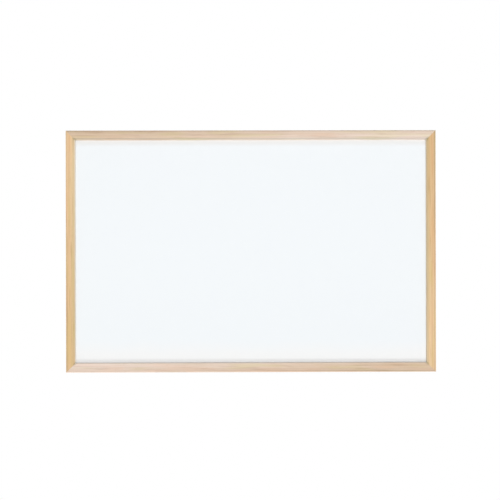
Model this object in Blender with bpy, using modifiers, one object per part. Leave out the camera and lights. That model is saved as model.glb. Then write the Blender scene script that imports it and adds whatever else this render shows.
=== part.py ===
"""A wall-hung whiteboard: an enamelled steel writing sheet in a mitred, rebated wooden frame.

Metres, +Z up. The board hangs upright with its writing face towards -Y and the back of its
frame in the plane Y = 0, against the wall. The origin lies in that plane, midway between the
two screws that the board hangs on.
"""

import math
from collections import namedtuple

import bmesh
import bpy
from mathutils import Matrix, Vector

# Frame: outside size, and how far below its top edge the hanging screws sit
FRAME_WIDTH = 0.918
FRAME_HEIGHT = 0.600
HANGING_DROP = 0.065

# Moulding: one section for all four sticks
FACE_WIDTH = 0.024
DEPTH = 0.018
LIP_THICKNESS = 0.005
REBATE_WIDTH = 0.006
OUTER_ROUNDING = 0.0025
SIGHT_ROUNDING = 0.0025
BACK_ROUNDING = 0.0008

# Clearances: between faces that meet, and round the panel in its rebate
SEAT_GAP = 0.0003
REBATE_PLAY = 0.0005

# Panel: the steel writing sheet and the hardboard behind it
SHEET_THICKNESS = 0.0005
SHEET_CORNER_RADIUS = 0.002
BACKING_THICKNESS = 0.006

# Flat steel points that hold the panel in the rebate
POINT_WIDTH = 0.006
POINT_THICKNESS = 0.0004
POINT_DRIVEN = 0.008
POINT_FREE = 0.007
POINT_TAPER = 0.0035
RAIL_POINTS = 5
STILE_POINTS = 3
POINT_PAST_HANGER = 0.010

# V-nails across the mitres, driven in from the back
NAILS_A_CORNER = 2
NAIL_LEG = 0.0042
NAIL_CURL = 0.0008
NAIL_METAL = 0.0006
NAIL_HEIGHT = 0.008
NAIL_SUNK = 0.0004
NAIL_MARGIN = 0.002

# Keyhole of a hanger plate, and the pocket behind it for a hanging screw's head
KEYHOLE_HEAD_RADIUS = 0.0043
KEYHOLE_SLOT_RADIUS = 0.0024
KEYHOLE_TRAVEL = 0.010
HEAD_POCKET_DEPTH = 0.0045
HEAD_POCKET_PLAY = 0.0009

# Countersunk screws of the hanger plates
SCREW_LENGTH = 0.012
SCREW_HEAD_RADIUS = 0.0028
SCREW_RIM = 0.0002
SCREW_SHANK_RADIUS = 0.0014
SCREW_POINT = 0.0035
RECESS_REACH = 0.0016
RECESS_WIDTH = 0.0006
RECESS_DEPTH = 0.0010

# Hanger plates: metal left round the keyhole and the screws, wood left beside the plate
PLATE_THICKNESS = 0.0015
PLATE_SUNK = 0.0002
PLATE_WEB = 0.0024
PLATE_RIM = 0.0027
PLATE_MARGIN = 0.002

# Fineness of round shapes, and how far a cutter runs out of what it cuts
ARC_STEPS = 5
ROUND_STEPS = 32
CUT_PAST = 0.002

HALF_TURN = math.pi
QUARTER_TURN = math.pi / 2

# Depths along Y, front to back
LIP_BACK = LIP_THICKNESS - DEPTH
SHEET_FRONT = LIP_BACK + SEAT_GAP
BACKING_FRONT = SHEET_FRONT + SHEET_THICKNESS + SEAT_GAP
POINT_FRONT = BACKING_FRONT + BACKING_THICKNESS + SEAT_GAP

# Distances inward from the outer edge, and lengths along the stiles
REBATE_WALL = FACE_WIDTH - REBATE_WIDTH
PLATE_WIDTH = REBATE_WALL - 2 * PLATE_MARGIN
SCREW_OFFSET = KEYHOLE_TRAVEL / 2 + KEYHOLE_HEAD_RADIUS + PLATE_WEB + SCREW_HEAD_RADIUS
PLATE_LENGTH = 2 * (SCREW_OFFSET + SCREW_HEAD_RADIUS + PLATE_RIM)
PLATE_DROP = HANGING_DROP + KEYHOLE_TRAVEL / 2
POINTS_FROM_CORNER = PLATE_DROP + PLATE_LENGTH / 2 + POINT_PAST_HANGER

Side = namedtuple("Side", "turn length place points")
Corner = namedtuple("Corner", "rail stile side height")

# Each stick is drawn as the bottom rail, lying along X with its outer edge at z = 0 and its
# rebated edge towards +Z, and is then turned about Y to its own side of the frame.
SIDES = {
    "bottom_rail": Side(0.0, FRAME_WIDTH, (0.0, -FRAME_HEIGHT / 2), RAIL_POINTS),
    "right_stile": Side(-QUARTER_TURN, FRAME_HEIGHT, (FRAME_WIDTH / 2, 0.0), STILE_POINTS),
    "top_rail": Side(HALF_TURN, FRAME_WIDTH, (0.0, FRAME_HEIGHT / 2), RAIL_POINTS),
    "left_stile": Side(QUARTER_TURN, FRAME_HEIGHT, (-FRAME_WIDTH / 2, 0.0), STILE_POINTS),
}

CORNERS = {
    "bottom_left": Corner("bottom_rail", "left_stile", -1, -1),
    "bottom_right": Corner("bottom_rail", "right_stile", 1, -1),
    "top_right": Corner("top_rail", "right_stile", 1, 1),
    "top_left": Corner("top_rail", "left_stile", -1, 1),
}

# Turns local +Z of a flat outline or a turned piece towards the wall, and leaves +Y up.
FACE_THE_WALL = Matrix.Rotation(-QUARTER_TURN, 4, "X") @ Matrix.Rotation(HALF_TURN, 4, "Z")

# Turns a section's (inward, depth) axes to a stick's Z and Y, and the section's normal to X.
SECTION_TO_STICK = Matrix(((0, 0, 1, 0), (0, 1, 0, 0), (1, 0, 0, 0), (0, 0, 0, 1)))


# Scene and materials


def fresh_collection(name):
    """An empty collection of this name, directly in the scene."""
    old = bpy.data.collections.get(name)
    if old:
        bpy.data.collections.remove(old)
    collection = bpy.data.collections.new(name)
    bpy.context.scene.collection.children.link(collection)
    return collection


def clear_scene():
    """Start empty, with one collection for the parts and one for the cutters."""
    for obj in list(bpy.data.objects):
        bpy.data.objects.remove(obj, do_unlink=True)
    parts = fresh_collection("whiteboard")
    fresh_collection("cutters")
    centre = bpy.data.objects.new("board_centre", None)
    centre.location = (0.0, 0.0, HANGING_DROP - FRAME_HEIGHT / 2)
    parts.objects.link(centre)


def plain_finish(name, colour, roughness, metallic=0.0):
    """One Principled material."""
    finish = bpy.data.materials.new(name)
    finish.use_nodes = True
    shader = finish.node_tree.nodes["Principled BSDF"]
    shader.inputs["Base Color"].default_value = (*colour, 1.0)
    shader.inputs["Roughness"].default_value = roughness
    shader.inputs["Metallic"].default_value = metallic
    return finish


def move_to(obj, collection_name):
    """Put the object in this collection alone, and under the board's centre."""
    for collection in list(obj.users_collection):
        collection.objects.unlink(obj)
    bpy.data.collections[collection_name].objects.link(obj)
    obj.parent = bpy.data.objects["board_centre"]
    return obj


def as_piece(obj, name, finish):
    """Name a piece of the board and give it its material."""
    obj.name = name
    obj.data.name = name
    obj.data.materials.clear()
    obj.data.materials.append(finish)
    return move_to(obj, "whiteboard")


def as_cutter(obj, name):
    """Name a shape that only cuts. It doesn't render, and shows as wire."""
    obj.name = name
    obj.hide_render = True
    obj.display_type = "WIRE"
    return move_to(obj, "cutters")


def cut(piece, cutter):
    """Take the cutter's shape out of the piece."""
    boolean = piece.modifiers.new(cutter.name, "BOOLEAN")
    boolean.operation = "DIFFERENCE"
    boolean.object = cutter


def smooth(obj, angle=math.radians(40)):
    """Shade round walls smooth and keep real edges sharp."""
    obj.data.shade_smooth()
    obj.data.set_sharp_from_angle(angle=angle)
    return obj


def even_shading(obj):
    """Keep large flats flat-looking after all cuts are in."""
    weighted = obj.modifiers.new("even_shading", "WEIGHTED_NORMAL")
    weighted.keep_sharp = True
    return obj


# Shapes


def arc(centre, radius, start, sweep, steps=ARC_STEPS):
    """Points along a circular arc, both ends included, angles in radians."""
    angles = [start + sweep * step / steps for step in range(steps + 1)]
    return [(centre[0] + radius * math.cos(a), centre[1] + radius * math.sin(a)) for a in angles]


def obround(half_travel, radius):
    """A slot's outline along Y: two half circles joined by straight sides."""
    upper = arc((0.0, half_travel), radius, 0.0, HALF_TURN, ROUND_STEPS // 2)
    lower = arc((0.0, -half_travel), radius, HALF_TURN, HALF_TURN, ROUND_STEPS // 2)
    return upper + lower


def rounded_rectangle(width, height, radius):
    """A rectangle's outline with round corners, centred on the origin."""
    x, y = width / 2 - radius, height / 2 - radius
    outline = []
    for number, corner in enumerate(((x, y), (-x, y), (-x, -y), (x, -y))):
        outline += arc(corner, radius, number * QUARTER_TURN, QUARTER_TURN)
    return outline


def flat_outline(name, outlines, thickness):
    """A plate of this thickness, centred on its own plane. Outlines inside the first are holes."""
    curve = bpy.data.curves.new(name, "CURVE")
    curve.dimensions = "2D"
    curve.fill_mode = "BOTH"
    curve.extrude = thickness / 2
    for outline in outlines:
        spline = curve.splines.new("POLY")
        spline.points.add(len(outline) - 1)
        for point, (x, y) in zip(spline.points, outline):
            point.co = (x, y, 0.0, 1.0)
        spline.use_cyclic_u = True
    obj = bpy.data.objects.new(name, curve)
    bpy.context.scene.collection.objects.link(obj)
    return obj


def to_mesh(obj):
    """Replace a curve by its welded mesh, so that it can be cut or can cut."""
    bpy.context.view_layer.update()
    evaluated = obj.evaluated_get(bpy.context.evaluated_depsgraph_get())
    mesh = bpy.data.meshes.new_from_object(evaluated)
    shape = bmesh.new()
    shape.from_mesh(mesh)
    bmesh.ops.remove_doubles(shape, verts=shape.verts, dist=1e-6)
    shape.to_mesh(mesh)
    shape.free()
    solid = bpy.data.objects.new(obj.name, mesh)
    solid.matrix_world = obj.matrix_world
    bpy.context.scene.collection.objects.link(solid)
    bpy.data.objects.remove(obj, do_unlink=True)
    return solid


def box(size):
    """A cube primitive with these three sides, its scale already applied."""
    bpy.ops.mesh.primitive_cube_add(size=1.0)
    obj = bpy.context.active_object
    obj.data.transform(Matrix.Diagonal((*size, 1.0)))
    return obj


def polyline(name, points):
    """An object of bare edges through these points."""
    shape = bmesh.new()
    corners = [shape.verts.new(point) for point in points]
    for pair in zip(corners, corners[1:]):
        shape.edges.new(pair)
    mesh = bpy.data.meshes.new(name)
    shape.to_mesh(mesh)
    shape.free()
    obj = bpy.data.objects.new(name, mesh)
    bpy.context.scene.collection.objects.link(obj)
    return obj


def turned(name, profile):
    """A solid of revolution about Z from (radius, height) points, top to bottom."""
    obj = polyline(name, [(radius, 0.0, height) for radius, height in profile])
    lathe = obj.modifiers.new("lathe", "SCREW")
    lathe.steps = ROUND_STEPS
    lathe.render_steps = ROUND_STEPS
    lathe.use_merge_vertices = True
    lathe.merge_threshold = 1e-5
    return obj


# The four sticks of the frame


def place_on(side):
    """The matrix from a stick's own axes to the board's centre."""
    x, z = SIDES[side].place
    return Matrix.Translation((x, 0.0, z)) @ Matrix.Rotation(SIDES[side].turn, 4, "Y")


def moulding_section():
    """The section as (inward, depth) points: inward from the outer edge, depth along Y."""
    outer, sight, back = OUTER_ROUNDING, SIGHT_ROUNDING, BACK_ROUNDING
    return [
        *arc((back, -back), back, HALF_TURN, -QUARTER_TURN),
        (REBATE_WALL, 0.0),
        (REBATE_WALL, LIP_BACK),
        (FACE_WIDTH, LIP_BACK),
        *arc((FACE_WIDTH - sight, sight - DEPTH), sight, 0.0, -QUARTER_TURN),
        *arc((outer, outer - DEPTH), outer, -QUARTER_TURN, -QUARTER_TURN),
    ]


def mitre(shape, length, end):
    """Saw one end off at 45 degrees, half a gap short of the corner. end is -1 or 1."""
    normal = Vector((end, 0.0, 1.0)).normalized()
    corner = Vector((end * length / 2, 0.0, 0.0))
    sawn = bmesh.ops.bisect_plane(
        shape,
        geom=[*shape.verts, *shape.edges, *shape.faces],
        plane_co=corner - normal * SEAT_GAP / 2,
        plane_no=normal,
        clear_outer=True,
    )
    rim = [item for item in sawn["geom_cut"] if isinstance(item, bmesh.types.BMEdge)]
    bmesh.ops.contextual_create(shape, geom=rim)


def stick(side, finish):
    """One length of moulding, run full length and then mitred at both ends."""
    length = SIDES[side].length
    stock = to_mesh(flat_outline(side, [moulding_section()], length))
    stock.data.transform(SECTION_TO_STICK)
    shape = bmesh.new()
    shape.from_mesh(stock.data)
    for end in (-1, 1):
        mitre(shape, length, end)
    bmesh.ops.recalc_face_normals(shape, faces=shape.faces)
    shape.to_mesh(stock.data)
    shape.free()
    stock.matrix_local = place_on(side)
    return smooth(as_piece(stock, side, finish))


# The panel in the rebate


def panel_size():
    """Width and height of what lies in the rebate, with play all round."""
    inset = 2 * (REBATE_WALL + REBATE_PLAY)
    return FRAME_WIDTH - inset, FRAME_HEIGHT - inset


def writing_sheet(finish):
    """The enamelled steel sheet, with its corners nipped round."""
    outline = rounded_rectangle(*panel_size(), SHEET_CORNER_RADIUS)
    obj = flat_outline("writing_sheet", [outline], SHEET_THICKNESS)
    obj.rotation_euler = (QUARTER_TURN, 0.0, 0.0)
    obj.location = (0.0, SHEET_FRONT + SHEET_THICKNESS / 2, 0.0)
    return as_piece(obj, "writing_sheet", finish)


def backing_board(finish):
    """The hardboard that keeps the thin sheet flat."""
    width, height = panel_size()
    obj = box((width, BACKING_THICKNESS, height))
    obj.location = (0.0, BACKING_FRONT + BACKING_THICKNESS / 2, 0.0)
    return as_piece(obj, "backing_board", finish)


# Steel points driven into the wall of the rebate


def point_places(side):
    """Where the points stand along a stick: evenly, and clear of the hangers and the corners."""
    run = side.length - 2 * POINTS_FROM_CORNER
    gaps = side.points - 1
    return [run * (number / gaps - 0.5) for number in range(side.points)]


def point_outline():
    """A flat tongue, (across, inward): sharpened where it enters the wood, round where it holds."""
    half = POINT_WIDTH / 2
    taper_end = POINT_TAPER - POINT_DRIVEN
    free_end = arc((0.0, POINT_FREE - half), half, 0.0, HALF_TURN, 2 * ARC_STEPS)
    return [(0.0, -POINT_DRIVEN), (half, taper_end), *free_end, (-half, taper_end)]


def panel_points(side, rail, finish):
    """The points along one stick, each in a slot of its own."""
    middle = POINT_FRONT + POINT_THICKNESS / 2
    slot_size = (
        POINT_WIDTH + 2 * SEAT_GAP,
        POINT_THICKNESS + 2 * SEAT_GAP,
        POINT_DRIVEN + SEAT_GAP + CUT_PAST,
    )
    slot_middle = REBATE_WALL + CUT_PAST - slot_size[2] / 2
    lie_flat = Matrix.Rotation(QUARTER_TURN, 4, "X")
    for number, along in enumerate(point_places(SIDES[side]), start=1):
        name = f"panel_point_{side}_{number}"
        obj = flat_outline(name, [point_outline()], POINT_THICKNESS)
        place = Matrix.Translation((along, middle, REBATE_WALL))
        obj.matrix_local = place_on(side) @ place @ lie_flat
        as_piece(obj, name, finish)
        slot = box(slot_size)
        slot.matrix_local = place_on(side) @ Matrix.Translation((along, middle, slot_middle))
        cut(rail, as_cutter(slot, f"slot_of_{name}"))


# V-nails across the mitres


def nail_ribbon(name, metal, height):
    """A V of sheet metal about the origin, with legs along +X and +Z and its top at y = 0."""
    curl = NAIL_CURL / math.sqrt(2)
    one_leg = [(NAIL_LEG + curl, 0.0, -curl), (NAIL_LEG, 0.0, 0.0)]
    other_leg = [(z, y, x) for x, y, z in reversed(one_leg)]
    obj = polyline(name, [*one_leg, (0.0, 0.0, 0.0), *other_leg])
    shape = bmesh.new()
    shape.from_mesh(obj.data)
    raised = bmesh.ops.extrude_edge_only(shape, edges=shape.edges)
    moved = [item for item in raised["geom"] if isinstance(item, bmesh.types.BMVert)]
    bmesh.ops.translate(shape, verts=moved, vec=(0.0, -height, 0.0))
    shape.to_mesh(obj.data)
    shape.free()
    sheet = obj.modifiers.new("sheet", "SOLIDIFY")
    sheet.thickness = metal
    sheet.offset = 0.0
    sheet.use_even_offset = True
    return obj


def nail_places():
    """How far in from the outer edges each V folds, so that all of it stays in the wood."""
    first = NAIL_MARGIN + NAIL_LEG + NAIL_CURL / math.sqrt(2)
    last = REBATE_WALL - NAIL_MARGIN
    step = (last - first) / (NAILS_A_CORNER - 1)
    return [first + step * number for number in range(NAILS_A_CORNER)]


def corner_nails(corner, rails, finish):
    """The V-nails across one mitre, with their cuts in both sticks. They open outward."""
    at = CORNERS[corner]
    outward = Matrix.Diagonal((at.side, 1.0, at.height, 1.0))
    kerf_metal = NAIL_METAL + 2 * SEAT_GAP
    kerf_height = CUT_PAST + NAIL_SUNK + NAIL_HEIGHT + SEAT_GAP
    for number, inward in enumerate(nail_places(), start=1):
        name = f"corner_nail_{corner}_{number}"
        x = at.side * (FRAME_WIDTH / 2 - inward)
        z = at.height * (FRAME_HEIGHT / 2 - inward)
        nail = nail_ribbon(name, NAIL_METAL, NAIL_HEIGHT)
        nail.data.transform(outward)
        nail.location = (x, -NAIL_SUNK, z)
        as_piece(nail, name, finish)
        kerf = nail_ribbon(f"kerf_of_{name}", kerf_metal, kerf_height)
        kerf.data.transform(outward)
        kerf.location = (x, CUT_PAST, z)
        as_cutter(kerf, kerf.name)
        cut(rails[at.rail], kerf)
        cut(rails[at.stile], kerf)


# Keyhole hanger plates and their screws


def keyhole():
    """A round hole for the hanging screw's head with a slot above it for its shank."""
    low, high = -KEYHOLE_TRAVEL / 2, KEYHOLE_TRAVEL / 2
    meets = math.acos(KEYHOLE_SLOT_RADIUS / KEYHOLE_HEAD_RADIUS)
    head = arc((0.0, low), KEYHOLE_HEAD_RADIUS, HALF_TURN - meets, HALF_TURN + 2 * meets, ROUND_STEPS)
    slot_end = arc((0.0, high), KEYHOLE_SLOT_RADIUS, 0.0, HALF_TURN, ROUND_STEPS // 2)
    return head + slot_end


def screw_profile(clearance=0.0, above=0.0):
    """A countersunk wood screw as (radius, height) points, its head's top at height 0."""
    head = SCREW_HEAD_RADIUS + clearance
    shank = SCREW_SHANK_RADIUS + clearance
    under_head = -SCREW_RIM - (SCREW_HEAD_RADIUS - SCREW_SHANK_RADIUS)
    end = -SCREW_LENGTH - clearance
    return [
        (0.0, above),
        (head, above),
        (head, -SCREW_RIM),
        (shank, under_head),
        (shank, end + SCREW_POINT),
        (0.0, end),
    ]


def screw(name, place, finish):
    """One screw with a cross recess in its head."""
    obj = turned(name, screw_profile())
    obj.matrix_local = place
    as_piece(obj, name, finish)
    for number, turn in enumerate((0.0, QUARTER_TURN), start=1):
        slot = box((2 * RECESS_REACH, RECESS_WIDTH, 2 * RECESS_DEPTH))
        slot.matrix_local = place @ Matrix.Rotation(turn, 4, "Z")
        cut(obj, as_cutter(slot, f"recess_{number}_of_{name}"))
    return obj


def pocket(name, outline, depth, place):
    """A cutter of this outline that reaches as far out of the back of the frame as into it."""
    cutter = to_mesh(flat_outline(name, [outline], 2 * depth))
    cutter.matrix_local = place
    return as_cutter(cutter, name)


def plate_outline(clearance=0.0):
    """The plate's outline, or that of the seat it lies in."""
    return obround((PLATE_LENGTH - PLATE_WIDTH) / 2, PLATE_WIDTH / 2 + clearance)


def hanger_plate(name, place, finish):
    """A keyhole plate with round ends, its back at height -PLATE_SUNK."""
    outlines = [plate_outline(), keyhole()]
    plate = to_mesh(flat_outline(name, outlines, PLATE_THICKNESS))
    plate.matrix_local = place @ Matrix.Translation((0.0, 0.0, -PLATE_SUNK - PLATE_THICKNESS / 2))
    return smooth(as_piece(plate, name, finish))


def hanger(hand, side, stile, finish):
    """A plate flush in the back of one stile, its two screws, and room for a screw's head."""
    name = f"hanger_{hand}"
    middle_of_back = FRAME_WIDTH / 2 - REBATE_WALL / 2
    middle = Matrix.Translation((side * middle_of_back, 0.0, FRAME_HEIGHT / 2 - PLATE_DROP))
    at_wall = middle @ FACE_THE_WALL
    seat_depth = PLATE_SUNK + PLATE_THICKNESS + SEAT_GAP
    head_room = obround(KEYHOLE_TRAVEL / 2, KEYHOLE_HEAD_RADIUS + HEAD_POCKET_PLAY)
    cut(stile, pocket(f"seat_of_{name}", plate_outline(SEAT_GAP), seat_depth, at_wall))
    cut(stile, pocket(f"head_pocket_of_{name}", head_room, seat_depth + HEAD_POCKET_DEPTH, at_wall))
    plate = hanger_plate(name, at_wall, finish)
    for end, offset in {"upper": SCREW_OFFSET, "lower": -SCREW_OFFSET}.items():
        screw_name = f"hanger_screw_{hand}_{end}"
        place = at_wall @ Matrix.Translation((0.0, offset, -PLATE_SUNK))
        screw(screw_name, place, finish)
        bore = turned(f"bore_of_{screw_name}", screw_profile(SEAT_GAP, CUT_PAST))
        bore.matrix_local = place
        as_cutter(bore, bore.name)
        cut(plate, bore)
        cut(stile, bore)
    even_shading(plate)


def build():
    """The whole board."""
    clear_scene()
    rail_wood = plain_finish("pale_wood", (0.74, 0.59, 0.46), 0.5)
    stile_wood = plain_finish("tan_wood", (0.75, 0.52, 0.29), 0.5)
    enamel = plain_finish("white_enamel", (0.90, 0.94, 0.96), 0.12)
    hardboard = plain_finish("brown_hardboard", (0.25, 0.14, 0.07), 0.8)
    bright_steel = plain_finish("bright_steel", (0.55, 0.55, 0.56), 0.35, metallic=1.0)
    zinc = plain_finish("zinc_plate", (0.62, 0.62, 0.60), 0.3, metallic=1.0)

    rails = {side: stick(side, rail_wood if "rail" in side else stile_wood) for side in SIDES}
    writing_sheet(enamel)
    backing_board(hardboard)
    for side, rail in rails.items():
        panel_points(side, rail, bright_steel)
    for corner in CORNERS:
        corner_nails(corner, rails, bright_steel)
    hanger("left", -1, rails["left_stile"], zinc)
    hanger("right", 1, rails["right_stile"], zinc)
    for rail in rails.values():
        even_shading(rail)


build()
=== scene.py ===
"""The looks of the wall-hung whiteboard: wood, enamel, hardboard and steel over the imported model.

Metres, +Z up, the writing face towards -Y and the back of the frame in the plane Y = 0.
"""
import math
from collections import namedtuple

import bmesh
import bpy
from mathutils import Matrix, Vector


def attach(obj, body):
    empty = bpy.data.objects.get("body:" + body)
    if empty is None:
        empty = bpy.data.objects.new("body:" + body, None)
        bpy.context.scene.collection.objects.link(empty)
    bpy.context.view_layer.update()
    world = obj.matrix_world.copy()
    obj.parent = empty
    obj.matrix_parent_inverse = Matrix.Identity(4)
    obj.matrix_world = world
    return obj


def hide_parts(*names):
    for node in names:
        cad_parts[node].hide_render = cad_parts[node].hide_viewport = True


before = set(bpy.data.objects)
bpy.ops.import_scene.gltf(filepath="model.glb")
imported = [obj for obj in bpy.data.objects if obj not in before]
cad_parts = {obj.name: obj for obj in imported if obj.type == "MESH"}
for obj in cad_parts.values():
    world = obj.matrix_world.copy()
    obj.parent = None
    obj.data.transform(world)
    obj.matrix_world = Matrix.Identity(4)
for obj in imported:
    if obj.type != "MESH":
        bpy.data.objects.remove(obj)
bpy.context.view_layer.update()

# Frame and moulding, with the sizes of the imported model
FRAME_WIDTH = 0.918
FRAME_HEIGHT = 0.600
HANGING_DROP = 0.065
FACE_WIDTH = 0.024
DEPTH = 0.018
LIP_THICKNESS = 0.005
REBATE_WIDTH = 0.006
REBATE_WALL = FACE_WIDTH - REBATE_WIDTH
OUTER_ROUNDING = 0.0025
SIGHT_ROUNDING = 0.0025
BACK_ROUNDING = 0.0008
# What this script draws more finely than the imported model: the joint of a mitre, and every arris
MITRE_JOINT = 0.00001
ARRIS = 0.00015

# Steel points that hold the panel, and the slots they are driven into
POINT_WIDTH = 0.006
POINT_METAL = 0.0004
POINT_DRIVEN = 0.008
POINT_FREE = 0.007
POINT_TAPER = 0.0035
POINT_MIDDLE = -0.0054
RAIL_POINTS = 5
STILE_POINTS = 3
POINTS_FROM_CORNER = 0.100

# V-nails across the mitres
NAILS_A_CORNER = 2
NAIL_LEG = 0.0042
NAIL_CURL = 0.0008
NAIL_METAL = 0.0006
NAIL_HEIGHT = 0.008
NAIL_SUNK = 0.0004
# The radius of a fold, as a share of the metal's thickness
NAIL_BEND = 0.7
# How far in from both outer edges the first and the last V of a corner fold
FIRST_NAIL = 0.006766
LAST_NAIL = 0.016

# Keyhole hangers and their screws
HANGER_X = 0.450
HANGER_Z = -0.005
PLATE_WIDTH = 0.014
PLATE_LENGTH = 0.040
PLATE_METAL = 0.0015
PLATE_SUNK = 0.0002
PLATE_EDGE = 0.00022
KEYHOLE_HEAD_RADIUS = 0.0043
KEYHOLE_SLOT_RADIUS = 0.0024
KEYHOLE_TRAVEL = 0.010
HEAD_POCKET_DEPTH = 0.0045
HEAD_POCKET_PLAY = 0.0009
SCREW_OFFSET = 0.0145
SCREW_LENGTH = 0.012
SCREW_HEAD_RADIUS = 0.0028
SCREW_RIM = 0.0002
SCREW_CORE_RADIUS = 0.00095
SCREW_THREAD = 0.00045
SCREW_PITCH = 0.0011
SCREW_POINT = 0.0035
# A screw's share of length without a thread, and the share of thickness that is left at its tip
SCREW_PLAIN = 0.3
SCREW_TIP = 0.03
# How steep the thread is: at 3 its ridge takes up the middle two thirds of each pitch
THREAD_SLOPE = 3.0
# A wedge of the cross recess, and by what share it grows longer and wider for each metre upward
RECESS_SIZE = (0.0034, 0.0007, 0.0026)
RECESS_GROWS = (330.0, 150.0)
# The draw for how far each screw is turned
SCREW_SEED = 4

# Room round what is driven or let into the wood, beside and under the plates, and round the
# screws in them
DRIVEN_ROOM = 0.0001
SEAT_ROOM = 0.00018
SEAT_DEEPER = 0.00005
HOLE_ROOM = 0.00012
# How far the cutters reach out of the back of the frame, each to a plane of its own
CUT_PAST = 0.002
POCKET_PAST = CUT_PAST + 0.0005
BORE_PAST = CUT_PAST + 0.001

# How finely round forms are drawn, and the angle from which an edge is a real one
SECTION_STEPS = 12
TONGUE_STEPS = 10
BEND_STEPS = 4
SLOT_STEPS = 36
KEYHOLE_HEAD_STEPS = 48
KEYHOLE_SLOT_STEPS = 24
TURNED_SIDES = 48
SCREW_SIDES = 36
SCREW_RINGS = 132
EDGE_STEPS = 2
REAL_EDGE = math.radians(35)
WELD_WITHIN = 2e-6

QUARTER_TURN = math.pi / 2
HALF_TURN = math.pi
FULL_TURN = 2.0 * math.pi
RIGHT_EDGE = FRAME_WIDTH / 2
BOTTOM_EDGE = HANGING_DROP - FRAME_HEIGHT
MIDDLE = HANGING_DROP - FRAME_HEIGHT / 2
BOARD_CENTRE = Vector((0.0, 0.0, MIDDLE))

# A stick is drawn along X, with its outer edge at z = 0 and its rebated edge towards +Z, and is
# then turned about Y and put in its place. Seed and tone make each stick its own piece of wood.
Stick = namedtuple("Stick", "kind turn place seed tone wear")
# How far painted shade darkens the outer arris at the stick's pale end and at its deep end, how
# far and how widely painted shade darkens the face along the sight edge, and how strong a painted
# highlight on the sight rounding is
Wear = namedtuple("Wear", "pale_handled deep_handled wiped wiped_width dusted")
TOP_PAINTED_LIGHT = Wear(0.35, 1.1, 1.0, 0.0065, 0.0)
BOTTOM_PAINTED_LIGHT = Wear(0.0, 1.0, 0.0, 0.0065, 0.5)
LEFT_PAINTED_LIGHT = Wear(0.30, 0.75, 0.50, 0.0110, 0.85)
RIGHT_PAINTED_LIGHT = Wear(0.75, 2.2, 1.0, 0.0080, 0.30)
LEFT_PLACE = (-RIGHT_EDGE, 0.0, MIDDLE)
RIGHT_PLACE = (RIGHT_EDGE, 0.0, MIDDLE)
STICKS = {
    "bottom_rail": Stick("rail", 0.0, (0.0, 0.0, BOTTOM_EDGE), 71.0, 0.978, BOTTOM_PAINTED_LIGHT),
    "right_stile": Stick("stile", -QUARTER_TURN, RIGHT_PLACE, 46.2, 0.980, RIGHT_PAINTED_LIGHT),
    "top_rail": Stick("rail", HALF_TURN, (0.0, 0.0, HANGING_DROP), 12.9, 1.012, TOP_PAINTED_LIGHT),
    "left_stile": Stick("stile", QUARTER_TURN, LEFT_PLACE, 21.6, 0.962, LEFT_PAINTED_LIGHT),
}
LENGTHS = {"rail": FRAME_WIDTH, "stile": FRAME_HEIGHT}
POINTS = {"rail": RAIL_POINTS, "stile": STILE_POINTS}
# Soft borders of the painted shade and highlight, each from its start to its end: the depth where
# they stop behind the face, and how far in from the outer edge each band of the face begins or ends
PAINTED_LIGHT_DEPTH = (-DEPTH + 0.0012, -DEPTH + 0.0045)
ARRIS_SHADE_FROM = (0.0010, 0.0026)
ARRIS_SHADE_TO = (0.0034, 0.0058)
SIGHT_SHADE_FULL = FACE_WIDTH - 0.0042
SIGHT_HIGHLIGHT_FROM = (FACE_WIDTH - 0.0030, FACE_WIDTH - 0.0006)
# The darker spot in each inner corner: from where on the face, and how far from the mitre
CORNER_FROM = (FACE_WIDTH - 0.0085, FACE_WIDTH - 0.0035)
CORNER_REACH = (0.001, 0.007)

# Linear colours of one kind of stick: its pale end, its deep end, the outer half of its face and
# its pores, and what its outer arris is multiplied by for its painted shade
Wood = namedtuple("Wood", "pale_end deep_end outer pore arris")
RAIL_WOOD = Wood(
    pale_end=(0.848, 0.706, 0.615, 1.0),
    deep_end=(0.702, 0.530, 0.378, 1.0),
    outer=(0.705, 0.548, 0.425, 1.0),
    pore=(0.480, 0.330, 0.220, 1.0),
    arris=(0.790, 0.770, 0.720, 1.0),
)
STILE_WOOD = Wood(
    pale_end=(0.840, 0.622, 0.370, 1.0),
    deep_end=(0.730, 0.513, 0.270, 1.0),
    outer=(0.835, 0.545, 0.315, 1.0),
    pore=(0.470, 0.290, 0.150, 1.0),
    arris=(0.745, 0.775, 0.785, 1.0),
)
WOODS = {"rail": RAIL_WOOD, "stile": STILE_WOOD}
WOOD_LIGHTNESS = 1.028
# Where the outer half of a face goes over into the inner one
OUTER_HALF = (FACE_WIDTH * 0.38, FACE_WIDTH * 0.58)
# How far the grain sways off the stick's length, in depth and across the face
DEPTH_SWAY = 0.006
FACE_SWAY = 0.010
# What patches of one stick are multiplied by: pinker, greener and darker than the rest
BLUSH = (1.026, 0.973, 0.944, 1.0)
OLIVE = (0.970, 1.008, 0.880, 1.0)
DARKER = (0.880, 0.850, 0.820, 1.0)
# What the painted shade along the sight edge and the inner corners are multiplied by, and the
# colour of the painted highlight on the sight rounding
SIGHT_SHADE_TONE = (0.830, 0.880, 0.910, 1.0)
CORNER_TONE = (0.720, 0.740, 0.650, 1.0)
SIGHT_HIGHLIGHT = (0.900, 0.845, 0.755, 1.0)

# The enamel's colour holds painted light: a neutral white near the bottom, a bluer one above it,
# and both darkened by painted shade in the strip under the top rail
NEUTRAL_WHITE = (0.930, 0.936, 0.938, 1.0)
BLUE_WHITE = (0.903, 0.937, 0.962, 1.0)
BLUE_FROM = (-0.490, -0.440)
TOP_RAIL_SHADE = (0.930, 0.895, 0.870, 1.0)
SIGHT_TOP = HANGING_DROP - FACE_WIDTH
TOP_RAIL_SHADE_FROM = (SIGHT_TOP - 0.018, SIGHT_TOP - 0.004)

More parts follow.
